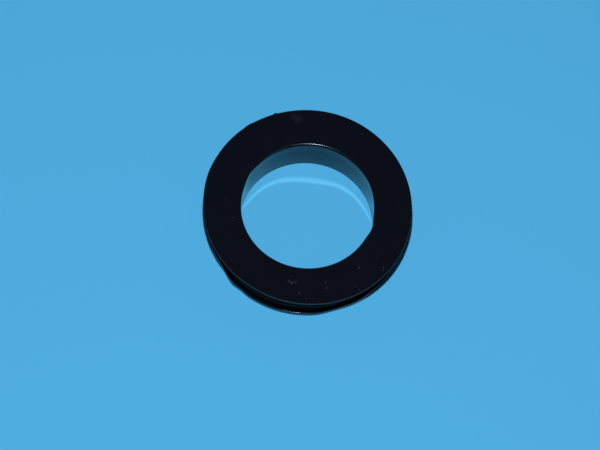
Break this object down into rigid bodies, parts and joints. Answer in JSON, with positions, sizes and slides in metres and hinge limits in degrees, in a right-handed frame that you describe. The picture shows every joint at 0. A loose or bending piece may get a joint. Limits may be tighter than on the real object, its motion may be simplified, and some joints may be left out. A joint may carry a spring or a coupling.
{
  "type": "knob gasket",
  "caption": "One-piece glossy black rubber gasket: a wide flat ring on a short sleeve with a plain bore, and a narrower foot ring below a groove for the panel's edge.",
  "frame": {"origin": "centre of the bore in the face that the gasket rests on", "axes": "+Z along the bore axis, from the foot flange to the top flange; -Y is the side that faces the camera"},
  "size_m": [0.047, 0.047, 0.0106],
  "materials": {
    "moulded_rubber": "smooth gloss, moulded black rubber"
  },
  "bodies": {
    "root": {"knob_gasket": "moulded_rubber"}
  },
  "joints": []
}
